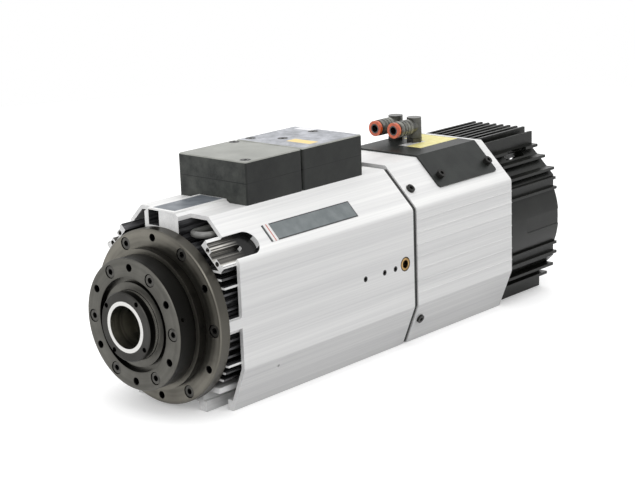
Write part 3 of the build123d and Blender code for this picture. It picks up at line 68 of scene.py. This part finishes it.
# ---------------------------------------------------------------- material tools
class Nodes:
    """A small helper that builds one node material."""

    def __init__(self, name, rough, metallic, coat=0.0, specular=0.5):
        self.material = bpy.data.materials.new(name)
        self.material.use_nodes = True
        self.tree = self.material.node_tree
        self.shader = self.tree.nodes["Principled BSDF"]
        self.shader.inputs["Roughness"].default_value = rough
        self.shader.inputs["Metallic"].default_value = metallic
        self.shader.inputs["Coat Weight"].default_value = coat
        self.shader.inputs["Coat Roughness"].default_value = 0.1
        self.shader.inputs["Specular IOR Level"].default_value = specular
        self.coords = self.add("ShaderNodeTexCoord").outputs["Object"]

    def add(self, kind, **settings):
        node = self.tree.nodes.new(kind)
        for key, value in settings.items():
            setattr(node, key, value)
        return node

    def link(self, a, b):
        self.tree.links.new(a, b)

    def stretch(self, x, y, z):
        """Coordinates scaled along each axis."""
        node = self.add("ShaderNodeMapping")
        node.inputs["Scale"].default_value = (x, y, z)
        self.link(self.coords, node.inputs["Vector"])
        return node.outputs["Vector"]

    def noise(self, vector, scale=1.0, detail=3.0, rough=0.5):
        node = self.add("ShaderNodeTexNoise")
        node.inputs["Scale"].default_value = scale
        node.inputs["Detail"].default_value = detail
        node.inputs["Roughness"].default_value = rough
        self.link(vector, node.inputs["Vector"])
        return node.outputs["Fac"]

    def noise_1d(self, value, scale, detail=3.0):
        node = self.add("ShaderNodeTexNoise", noise_dimensions="1D")
        node.inputs["Scale"].default_value = scale
        node.inputs["Detail"].default_value = detail
        self.link(value, node.inputs["W"])
        return node.outputs["Fac"]

    def math(self, kind, a, b=None):
        node = self.add("ShaderNodeMath", operation=kind)
        for number, value in enumerate((a, b)):
            if value is None:
                continue
            if isinstance(value, (int, float)):
                node.inputs[number].default_value = value
            else:
                self.link(value, node.inputs[number])
        return node.outputs[0]

    def ramp(self, value, *stops):
        node = self.add("ShaderNodeValToRGB")
        ramp = node.color_ramp
        while len(ramp.elements) < len(stops):
            ramp.elements.new(0.5)
        for element, (place, colour) in zip(ramp.elements, stops):
            element.position = place
            element.color = (*colour, 1)
        self.link(value, node.inputs["Fac"])
        return node.outputs["Color"]

    def clouds(self, scale, *stops, detail=3, rough=0.5):
        """A tone that varies over the surface."""
        return self.ramp(self.noise(self.coords, scale, detail, rough), *stops)

    def blend(self, parts):
        """Sum of the (value, weight) parts."""
        return self.math("ADD", *(self.math("MULTIPLY", value, weight) for value, weight in parts))

    def spread(self, value, low, high):
        node = self.add("ShaderNodeMapRange")
        node.inputs["To Min"].default_value = low
        node.inputs["To Max"].default_value = high
        node.inputs["From Min"].default_value = 0.3
        node.inputs["From Max"].default_value = 0.7
        self.link(value, node.inputs["Value"])
        return node.outputs["Result"]

    def split(self, vector):
        node = self.add("ShaderNodeSeparateXYZ")
        self.link(vector, node.inputs["Vector"])
        return node.outputs["X"], node.outputs["Y"], node.outputs["Z"]

    def axes(self):
        return self.split(self.coords)

    def facing(self):
        """Components of the surface direction in the object's own axes."""
        return self.split(self.add("ShaderNodeTexCoord").outputs["Normal"])

    def distance(self, first, second):
        """Distance from a line, given as a (coordinate, place) pair for each axis across it."""
        squares = []
        for value, place in (first, second):
            offset = self.math("SUBTRACT", value, place)
            squares.append(self.math("MULTIPLY", offset, offset))
        return self.math("SQRT", self.math("ADD", *squares))

    def radius(self):
        """Distance from the spindle axis."""
        x, _, z = self.axes()
        return self.distance((x, 0), (z, 0))

    def turning(self):
        """A coordinate that grows along turned faces and sides alike."""
        return self.math("ADD", self.radius(), self.axes()[1])

    def ring_of_six(self, circle, start, reach):
        """1 within reach of six places on a circle round the spindle axis, the first at start radians."""
        x, _, z = self.axes()
        angle = self.math("ADD", self.math("ARCTAN2", z, x), 2 * math.pi - start)
        along = self.math("MULTIPLY", self.math("PINGPONG", angle, math.pi / 6), circle)
        return self.below(self.distance((along, 0), (self.radius(), circle)), reach)

    def above(self, value, limit):
        return self.math("GREATER_THAN", value, limit)

    def below(self, value, limit):
        return self.math("LESS_THAN", value, limit)

    def fold(self, kind, values):
        result = values[0]
        for value in values[1:]:
            result = self.math(kind, result, value)
        return result

    def both(self, *masks):
        return self.fold("MULTIPLY", masks)

    def either(self, *masks):
        return self.fold("MAXIMUM", masks)

    def opposite(self, mask):
        return self.math("SUBTRACT", 1.0, mask)

    def inside(self, value, low, high):
        """1 between low and high, else 0."""
        return self.both(self.above(value, low), self.below(value, high))

    def patch(self, low, high):
        """1 inside a box of the frame, else 0."""
        return self.both(*(self.inside(value, a, b) for value, a, b in zip(self.axes(), low, high)))

    def mix(self, factor, a, b):
        node = self.add("ShaderNodeMix", data_type="RGBA")
        self.link(factor, node.inputs["Factor"])
        for value, socket in ((a, node.inputs[6]), (b, node.inputs[7])):
            if isinstance(value, tuple):
                socket.default_value = (*value, 1)
            else:
                self.link(value, socket)
        return node.outputs[2]

    def recesses(self, tone, places):
        """Painted shade in the screw recesses at (x, y) places of a lid."""
        x, y, _ = self.axes()
        for across, station in places:
            # painted shade: a near-black disc round each screw
            hole = self.below(self.distance((x, across), (y, station)), LID_RECESS)
            tone = self.mix(hole, tone, PAINTED_HOLE_SHADE)
        return tone

    def colour(self, value):
        self.link(value, self.shader.inputs["Base Color"])

    def roughness(self, value):
        self.link(value, self.shader.inputs["Roughness"])

    def bump(self, value, depth, strength):
        node = self.add("ShaderNodeBump")
        node.inputs["Distance"].default_value = depth
        node.inputs["Strength"].default_value = strength
        self.link(value, node.inputs["Height"])
        self.link(node.outputs["Normal"], self.shader.inputs["Normal"])

    def grain(self, scale, depth, strength):
        self.bump(self.noise(self.coords, scale, 2), depth, strength)


def extruded(name):
    """A material with its lengthwise streaks, and the tone they give."""
    m = Nodes(name, 0.42, 0.2, specular=0.3)
    wide_streaks = m.noise(m.stretch(60, 0.7, 60), detail=4, rough=0.6)
    fine_streaks = m.noise(m.stretch(700, 5, 700), detail=4, rough=0.6)
    tone = m.ramp(m.blend(((wide_streaks, 0.6), (fine_streaks, 0.4))),
                  (0.36, (0.65, 0.65, 0.65)), (0.64, (0.83, 0.83, 0.82)))
    m.bump(fine_streaks, 0.00006, 0.5)
    return m, tone, m.spread(fine_streaks, 0.36, 0.52)


def turned(m, light, dark):
    """Tone of turned steel, banded and stained, and the bands."""
    bands = m.noise_1d(m.turning(), 160)
    stains = m.noise(m.coords, 55)
    return m.ramp(m.blend(((bands, 0.55), (stains, 0.45))), (0.35, dark), (0.66, light)), bands


def body_aluminium():
    m, tone, rough = extruded("body_aluminium")
    m.colour(tone)
    m.roughness(rough)
    return m.material


def turned_steel(name, light, dark, rough, metallic):
    """Steel with fine turning marks round the spindle axis."""
    m = Nodes(name, rough, metallic)
    tone, bands = turned(m, light, dark)
    m.colour(tone)
    m.roughness(m.spread(bands, rough - 0.06, rough + 0.08))
    m.bump(m.noise_1d(m.turning(), 2600, 2), 0.00005, 0.5)
    return m.material


def grained(name, light, dark, rough, metallic=0.0, scale=1500, depth=0.00008, coat=0.0, cloud=40,
            specular=0.5):
    """Moulded plastic or paint: fine grain and cloudy tone."""
    m = Nodes(name, rough, metallic, coat, specular)
    clouds = m.noise(m.coords, cloud, 4, 0.6)
    m.colour(m.ramp(clouds, (0.35, dark), (0.68, light)))
    m.roughness(m.spread(clouds, rough - 0.05, rough + 0.06))
    m.grain(scale, depth, 0.5)
    return m.material


# ---------------------------------------------------------------- materials of single pieces
def housing_aluminium():
    """Streaked aluminium outside, with painted shade in the slots, the channel and the cavities between the
    fins, and painted highlight streaks in the side slot and on the fins.
    """
    m, bright, rough = extruded("housing_aluminium")
    x, y, z = m.axes()
    across = m.math("ABSOLUTE", x)
    not_front = m.above(m.facing()[1], -0.9)
    # depths under the flat side, the upper and the lower chamfer and the top
    side = m.math("SUBTRACT", HALF_WIDTH, across)
    slope = m.math("MULTIPLY", m.math("SUBTRACT", m.math("SUBTRACT", UPPER_CORNER, across), z), DIAGONAL)
    lower = m.blend(((side, LOWER_LEAN[0]), (m.math("SUBTRACT", z, LOWER_CORNER), LOWER_LEAN[1])))
    depth = m.fold("MINIMUM", (side, slope, lower, m.math("SUBTRACT", TOP_FACE, z)))
    off_rail = m.either(m.above(across, RAIL_SIDE), m.below(z, RAIL_FOOT))
    off_web = m.opposite(m.inside(z, *SIDE_WEB))
    # painted shade: surfaces behind the skin, off the rail and the web, get a dark tone, and so does the
    # channel
    inner = m.both(m.above(depth, SKIN), off_rail, off_web, m.above(z, FIN_FOOT), not_front)
    channel = m.both(m.below(across, CHANNEL_HALF), m.inside(z, *CHANNEL_HEIGHTS),
                     m.above(y, CHANNEL_FRONT), not_front)
    rise = m.math("MULTIPLY", m.math("ADD", side, m.math("SUBTRACT", z, SLOT_ORIGIN)), DIAGONAL)
    slot = m.both(m.inside(rise, *SLOT_RISE), m.inside(slope, *SLOT_DEPTHS), m.below(y, SLOT_REAR), not_front)
    # painted highlight streaks across the side slot, fading into painted shade towards its rear
    run = m.add("ShaderNodeMapRange")
    run.inputs["From Min"].default_value, run.inputs["From Max"].default_value = SLOT_SHADE
    m.link(y, run.inputs["Value"])
    painted_glints = m.ramp(m.noise_1d(rise, 420), (0.35, (0.02, 0.019, 0.017)), (0.52, (0.12, 0.115, 0.105)),
                   (0.62, (0.62, 0.60, 0.56)))
    slot_painted_light = m.mix(run.outputs["Result"], painted_glints, (0.008, 0.008, 0.008))
    # painted shade between the fins, with lighter streaks as painted highlights on them
    fins = m.ramp(m.noise(m.stretch(300, 30, 300)), (0.4, (0.012, 0.012, 0.013)), (0.68, (0.10, 0.10, 0.105)))
    # the zones that get painted shade
    dark = m.either(inner, channel)
    m.colour(m.mix(slot, m.mix(dark, bright, fins), slot_painted_light))
    m.roughness(m.math("ADD", rough, m.math("MULTIPLY", m.either(dark, slot), -0.2)))
    return m.material


def burnished_steel(name, light, dark, painted_side_shade_factor, holes=(), rim_from=None):
    """Blackened turned steel with painted shade on its turned sides, a lighter painted copy on the outer rim
    as a painted highlight, and painted shade in the holes, given as (circle, start, reach).
    """
    m = Nodes(name, 0.3, 0.95, specular=0.3)
    shade, bands = turned(m, light, dark)
    # painted shade: surfaces that don't face the front get a darker copy of the face's colour
    turned_side = m.above(m.facing()[1], -0.5)
    shade = m.mix(turned_side, shade, tuple(painted_side_shade_factor * value for value in light))
    if rim_from:
        # painted highlight: the outer rim gets a lighter copy than the other sides
        rim = m.both(turned_side, m.above(m.radius(), rim_from))
        shade = m.mix(rim, shade, tuple(0.4 * value for value in light))
    # painted shade in the holes
    for hole in holes:
        shade = m.mix(m.ring_of_six(*hole), shade, PAINTED_HOLE_SHADE)
    m.colour(shade)
    m.roughness(m.spread(bands, 0.30, 0.44))
    m.bump(m.noise_1d(m.turning(), 2600, 2), 0.00005, 0.5)
    return m.material


def nose_screws(name, circle):
    """Blackened screw heads with painted shade in their sockets."""
    m = Nodes(name, 0.36, 0.7)
    head = m.clouds(300, (0.35, (0.045, 0.044, 0.040)), (0.66, (0.085, 0.082, 0.074)))
    # painted shade in the sockets
    m.colour(m.mix(m.ring_of_six(circle, 0, SOCKET), head, PAINTED_HOLE_SHADE))
    m.grain(1500, 0.00004, 0.4)
    return m.material


def ground_shaft():
    """A bright ground ring round a darker taper."""
    m = Nodes("ground_shaft", 0.22, 1.0)
    marks = m.noise_1d(m.turning(), 240)
    taper = m.both(m.below(m.radius(), TAPER_MOUTH), m.above(m.axes()[1], TAPER_FACE))
    ring = m.ramp(marks, (0.35, (0.50, 0.495, 0.48)), (0.66, (0.68, 0.675, 0.66)))
    bore = m.ramp(marks, (0.35, (0.30, 0.293, 0.265)), (0.66, (0.48, 0.47, 0.43)))
    m.colour(m.mix(taper, ring, bore))
    m.roughness(m.spread(marks, 0.18, 0.3))
    m.bump(m.noise_1d(m.turning(), 2600, 2), 0.00004, 0.5)
    return m.material


def collar_red(name, across):
    """Red release collar, with painted shade in its tube hole."""
    m = Nodes(name, 0.28, 0.0, coat=0.5)
    x, _, z = m.axes()
    red = m.clouds(260, (0.35, (0.42, 0.055, 0.01)), (0.65, (0.66, 0.11, 0.02)))
    # painted shade: a near-black disc in the tube hole
    hole = m.below(m.distance((x, across), (z, FITTING_HEIGHT)), TUBE_HOLE)
    m.colour(m.mix(hole, red, (0.012, 0.010, 0.010)))
    m.grain(900, 0.00005, 0.4)
    return m.material


def turned_brass():
    """Brass plug, darker round its socket."""
    m = Nodes("turned_brass", 0.3, 1.0)
    _, y, z = m.axes()
    reach = m.distance((y, PLUG_STATION), (z, PLUG_HEIGHT))
    brass = m.clouds(260, (0.35, (0.20, 0.12, 0.045)), (0.65, (0.42, 0.27, 0.11)))
    m.colour(m.mix(m.inside(reach, *PLUG_RING), (0.035, 0.028, 0.02), brass))
    m.bump(m.noise_1d(reach, 2600, 2), 0.00004, 0.5)
    return m.material


def box_plastic(name):
    """Moulded box and its tone: mottled sides, a front with its own mottled tone that is partly painted
    light, a top painted paler as painted light, and a dark parting line.
    """
    m = Nodes(name, 0.40, 0.0, specular=0.25)
    _, toward_rear, up = m.facing()
    clouds = m.noise(m.coords, 34, 5, 0.65)
    sides = m.ramp(clouds, (0.36, (0.005, 0.006, 0.0055)), (0.68, (0.020, 0.022, 0.020)))
    # the front: mottled smudges, and partly painted light, lighter than the sides
    front = m.clouds(60, (0.33, (0.009, 0.011, 0.010)), (0.70, (0.060, 0.064, 0.058)), detail=5, rough=0.7)
    # painted light: faces turned up get a much paler copy
    top = m.ramp(clouds, (0.33, (0.21, 0.215, 0.195)), (0.68, (0.34, 0.345, 0.32)))
    tone = m.mix(m.below(toward_rear, -0.9), sides, front)
    tone = m.mix(m.above(up, 0.6), tone, top)
    tone = m.mix(m.inside(m.axes()[2], *PARTING_LINE), tone, (0.004, 0.004, 0.004))
    m.roughness(m.spread(clouds, 0.34, 0.48))
    m.grain(1500, 0.00008, 0.4)
    return m, tone


def power_plastic():
    m, tone = box_plastic("power_box_plastic")
    m.colour(m.recesses(tone, POWER_SCREWS))
    return m.material


def signal_plastic():
    """The signal box's lid: a bare foil on its top, with two plain coloured fields."""
    m, tone = box_plastic("signal_box_plastic")
    foil = m.clouds(110, (0.33, (0.20, 0.21, 0.225)), (0.52, (0.33, 0.34, 0.37)), (0.70, (0.50, 0.51, 0.55)),
                    detail=5, rough=0.7)
    fields = (
        ((-0.0338, 0.1482), (0.0335, 0.2138), foil),
        ((0.003, 0.163), (0.027, 0.1735), (0.78, 0.58, 0.22)),
        ((-0.028, 0.2055), (-0.010, 0.2130), (0.72, 0.72, 0.74)),
    )
    for low, high, colour in fields:
        tone = m.mix(m.patch((*low, 0.1062), (*high, 0.107)), tone, colour)
    m.colour(m.recesses(tone, SIGNAL_SCREWS))
    return m.material


def channel_foil():
    """Channel cover: plain foil field inside a bare metal edge."""
    m = Nodes("cover_strip_foil", 0.4, 0.2)
    field = m.patch((-0.0115, 0.036, 0.0770), (0.0115, 0.0845, 0.079))
    foil = m.clouds(120, (0.35, (0.12, 0.135, 0.155)), (0.66, (0.19, 0.21, 0.235)))
    m.colour(m.mix(field, (0.78, 0.78, 0.77), foil))
    m.grain(900, 0.00004, 0.4)
    return m.material


def label_foil():
    """Label strip: bare grey field, darker rim, a pale band with a red line at its front end."""
    m = Nodes("label_foil", 0.38, 0.1)
    tone = m.clouds(110, (0.35, (0.13, 0.15, 0.155)), (0.66, (0.18, 0.20, 0.205)), detail=4)
    x, y, z = m.axes()
    rise = m.math("MULTIPLY", m.math("ADD", m.math("SUBTRACT", z, x), LABEL_ORIGIN), DIAGONAL)
    field = m.both(m.inside(rise, *LABEL_RISE), m.inside(y, *LABEL_STATIONS))
    tone = m.mix(field, (0.03, 0.033, 0.034), tone)
    tone = m.mix(m.inside(y, 0.0868, 0.0925), tone, (0.70, 0.69, 0.68))
    m.colour(m.mix(m.inside(y, 0.0893, 0.0902), tone, (0.50, 0.12, 0.09)))
    m.grain(900, 0.00004, 0.4)
    return m.material


def plate_coat():
    """Port plate: dark powder coat with plain yellow and white fields behind the fittings."""
    m = Nodes("plate_coat", 0.42, 0.1, specular=0.4)
    coat = m.clouds(60, (0.35, (0.009, 0.011, 0.010)), (0.66, (0.018, 0.021, 0.019)), detail=4)
    yellow_field = m.either(m.patch((0.0015, 0.3105, 0.0775), (0.0168, 0.3615, 0.079)),
                            m.patch((-0.022, 0.337, 0.0775), (0.0168, 0.3615, 0.079)))
    white_field = m.patch((-0.0065, 0.3105, 0.0775), (0.0015, 0.337, 0.079))
    yellow = m.clouds(200, (0.35, (0.70, 0.62, 0.22)), (0.66, (0.80, 0.74, 0.34)))
    m.colour(m.mix(white_field, m.mix(yellow_field, coat, yellow), (0.6, 0.6, 0.6)))
    m.grain(1600, 0.0001, 0.5)
    return m.material


# ---------------------------------------------------------------- who wears what
def clothe(material, *names):
    """Gives CAD nodes a material."""
    for name in names:
        mesh = nodes[name].data
        mesh.materials.clear()
        mesh.materials.append(material)


HALF_STEP = math.pi / 6         # the tapped holes stand half a step on from the screws
FLANGE_HOLES = ((FLANGE_SCREW_CIRCLE, 0, COUNTERBORE), (FLANGE_TAP_CIRCLE, HALF_STEP, TAPPED_HOLE))
COVER_HOLES = ((COVER_SCREW_CIRCLE, 0, COUNTERBORE), (COVER_TAP_CIRCLE, HALF_STEP, TAPPED_HOLE))

clothe(housing_aluminium(), "motor_housing")
clothe(body_aluminium(), "rear_housing", "channel_plug")
clothe(grained("gasket_rubber", (0.022, 0.022, 0.022), (0.012, 0.012, 0.012), 0.6),
       "joint_plate", "cowl_gasket")
clothe(burnished_steel("burnished_flange", (0.19, 0.18, 0.155), (0.11, 0.105, 0.09), 0.10,
                       FLANGE_HOLES, FLANGE_RIM), "front_flange")
clothe(burnished_steel("burnished_cover", (0.12, 0.117, 0.105), (0.066, 0.064, 0.057), 0.08,
                       COVER_HOLES), "nose_cover")
clothe(burnished_steel("burnished_ring", (0.055, 0.054, 0.05), (0.03, 0.029, 0.027), 0.25), "nose_ring")
clothe(nose_screws("cover_screw_heads", COVER_SCREW_CIRCLE), "nose_cover_screws")
clothe(nose_screws("flange_screw_heads", FLANGE_SCREW_CIRCLE), "front_flange_screws")
clothe(ground_shaft(), "spindle_shaft")
clothe(turned_steel("ground_steel", (0.80, 0.79, 0.77), (0.62, 0.61, 0.59), 0.22, 1.0),
       "shaft_locknut", "rear_locknut", "encoder_ring", "drawbar", "gripper",
       "bearing_outer_rings", "bearing_inner_rings")
clothe(grained("cage_resin", (0.25, 0.16, 0.08), (0.16, 0.10, 0.05), 0.5), "bearing_cages")
clothe(grained("black_screws", (0.035, 0.034, 0.032), (0.018, 0.018, 0.017), 0.33, metallic=0.7, cloud=300),
       "seam_screws", "cowl_screws", "guard_screws",
       "port_plate_screws", "lid_screws", "box_base_screws", "sensor_screws")
clothe(grained("varnished_sheets", (0.20, 0.21, 0.23), (0.12, 0.13, 0.14), 0.4, metallic=0.6),
       "rotor_core", "stator_core")
clothe(grained("copper_winding", (0.50, 0.22, 0.09), (0.30, 0.12, 0.05), 0.35, metallic=0.8, scale=900),
       "stator_windings")
clothe(turned_steel("turned_aluminium", (0.70, 0.70, 0.70), (0.55, 0.55, 0.55), 0.3, 0.9),
       "rotor_end_rings", "rear_bearing_hub", "release_front_plate", "release_cylinder", "release_piston",
       "air_manifold")
clothe(grained("spring_steel", (0.35, 0.35, 0.36), (0.20, 0.20, 0.21), 0.35, metallic=0.9),
       "drawbar_springs", "return_springs")
clothe(grained("cowl_black", (0.012, 0.013, 0.011), (0.003, 0.0034, 0.003), 0.32, metallic=0.1,
               scale=900, depth=0.00012, cloud=30, specular=0.25), "fan_cowl", "fan_guard", "fan_frame")
clothe(grained("fan_plastic", (0.03, 0.03, 0.03), (0.02, 0.02, 0.02), 0.4), "fan_impeller")
# the stems are near black, darker than bare plating, partly painted shade under the elbows
clothe(grained("plated_brass", (0.10, 0.098, 0.09), (0.04, 0.04, 0.037), 0.3, metallic=0.9), "fitting_stems")
clothe(grained("elbow_plastic", (0.075, 0.075, 0.062), (0.018, 0.018, 0.016), 0.35, coat=0.3, cloud=160),
       "left_elbow", "right_elbow")
clothe(grained("sleeve_grey", (0.22, 0.22, 0.19), (0.05, 0.05, 0.045), 0.35, coat=0.3, cloud=220),
       "left_sleeve", "right_sleeve")
clothe(collar_red("left_collar_red", LEFT_FITTING), "left_release_collar")
clothe(collar_red("right_collar_red", RIGHT_FITTING), "right_release_collar")
clothe(power_plastic(), "power_box_base", "power_box_lid", "signal_box_base")
clothe(signal_plastic(), "signal_box_lid")
clothe(grained("ivory_terminal", (0.60, 0.58, 0.50), (0.50, 0.48, 0.42), 0.5), "terminal_blocks")
clothe(grained("gland_plastic", (0.04, 0.04, 0.04), (0.025, 0.025, 0.025), 0.45), "cable_glands")
clothe(grained("hose_grey", (0.24, 0.24, 0.225), (0.12, 0.12, 0.115), 0.3, coat=0.3), "seal_air_hose")
clothe(turned_brass(), "brass_plug")
clothe(channel_foil(), "channel_cover")
clothe(label_foil(), "label_strip")
clothe(plate_coat(), "port_plate")


# ---------------------------------------------------------------- world, lights, floor
def show_by_ray(tree, lighting, shown, output):
    """Shows one shader to the camera and in metal and glass, and lights the object with the other."""
    path = tree.nodes.new("ShaderNodeLightPath")
    seen = path.outputs["Is Camera Ray"]
    for kind in ("Is Glossy Ray", "Is Transmission Ray"):
        either = tree.nodes.new("ShaderNodeMath")
        either.operation = "MAXIMUM"
        tree.links.new(seen, either.inputs[0])
        tree.links.new(path.outputs[kind], either.inputs[1])
        seen = either.outputs[0]
    chooser = tree.nodes.new("ShaderNodeMixShader")
    tree.links.new(seen, chooser.inputs["Fac"])
    tree.links.new(lighting, chooser.inputs[1])
    tree.links.new(shown, chooser.inputs[2])
    tree.links.new(chooser.outputs["Shader"], tree.nodes[output].inputs["Surface"])


def studio_world():
    """A sky that is darker below, shown as white."""
    world = bpy.data.worlds.new("studio")
    bpy.context.scene.world = world
    world.use_nodes = True
    tree = world.node_tree
    coords = tree.nodes.new("ShaderNodeTexCoord")
    split = tree.nodes.new("ShaderNodeSeparateXYZ")
    tree.links.new(coords.outputs["Generated"], split.inputs["Vector"])
    shift = tree.nodes.new("ShaderNodeMapRange")
    shift.inputs["From Min"].default_value = -1
    tree.links.new(split.outputs["Z"], shift.inputs["Value"])
    sky = tree.nodes.new("ShaderNodeValToRGB")
    sky.color_ramp.elements[0].position = 0.15
    sky.color_ramp.elements[0].color = (0.08, 0.08, 0.09, 1)
    sky.color_ramp.elements[1].position = 0.85
    sky.color_ramp.elements[1].color = (1.12, 1.12, 1.12, 1)
    sky.color_ramp.elements.new(0.5).color = (0.92, 0.92, 0.92, 1)
    tree.links.new(shift.outputs["Result"], sky.inputs["Fac"])
    background = tree.nodes["Background"]
    tree.links.new(sky.outputs["Color"], background.inputs["Color"])
    white = tree.nodes.new("ShaderNodeBackground")
    white.inputs["Color"].default_value = (1, 1, 1, 1)
    show_by_ray(tree, background.outputs["Background"], white.outputs["Background"], "World Output")


def soft_light(name, place, target, size, power):
    lamp = bpy.data.lights.new(name, "AREA")
    lamp.shape = "RECTANGLE"
    lamp.size, lamp.size_y = size
    lamp.energy = power
    holder = bpy.data.objects.new(name, lamp)
    bpy.context.collection.objects.link(holder)
    holder.rotation_euler = (Vector(place) - Vector(target)).to_track_quat("Z", "Y").to_euler()
    holder.location = place


def studio_floor():
    """Pale floor that keeps the object's shadow and lights the object less than it shows."""
    bpy.ops.mesh.primitive_circle_add(vertices=96, radius=1.4, fill_type="NGON", location=(0, 0.15, -0.0674))
    floor = bpy.context.object
    floor.name = "studio_floor"
    paper = bpy.data.materials.new("floor_paper")
    paper.use_nodes = True
    tree = paper.node_tree
    shader = tree.nodes["Principled BSDF"]
    shader.inputs["Base Color"].default_value = (0.86, 0.86, 0.86, 1)
    shader.inputs["Roughness"].default_value = 0.8
    shader.inputs["Specular IOR Level"].default_value = 0.0
    shader.inputs["Emission Color"].default_value = (1, 1, 1, 1)
    shader.inputs["Emission Strength"].default_value = 0.25
    dim = tree.nodes.new("ShaderNodeBsdfDiffuse")
    dim.inputs["Color"].default_value = (0.16, 0.16, 0.17, 1)
    show_by_ray(tree, dim.outputs["BSDF"], shader.outputs["BSDF"], "Material Output")
    floor.data.materials.append(paper)


studio_world()
soft_light("top_light", (0.15, 0.15, 1.1), (0.02, 0.2, 0), (1.2, 1.6), 4)
soft_light("front_light", (0.5, -1.1, 0.75), (0, 0.1, 0), (0.9, 0.7), 4)
studio_floor()

# ---------------------------------------------------------------- camera, solved from the photograph
FOCAL_PIXELS, FRAME_PIXELS, SENSOR = 1602.87, 635, 36
camera_data = bpy.data.cameras.new("camera")
camera_data.sensor_width = SENSOR
camera_data.lens = FOCAL_PIXELS / FRAME_PIXELS * SENSOR
camera = bpy.data.objects.new("camera", camera_data)
bpy.context.collection.objects.link(camera)
camera.matrix_world = Matrix((
    (0.74539, -0.14089, 0.65157, 0.83034),
    (0.66573, 0.20808, -0.71659, -0.71566),
    (-0.03462, 0.96791, 0.24889, 0.32973),
    (0, 0, 0, 1),
))
bpy.context.scene.camera = camera
bpy.context.scene.view_settings.view_transform = "Standard"
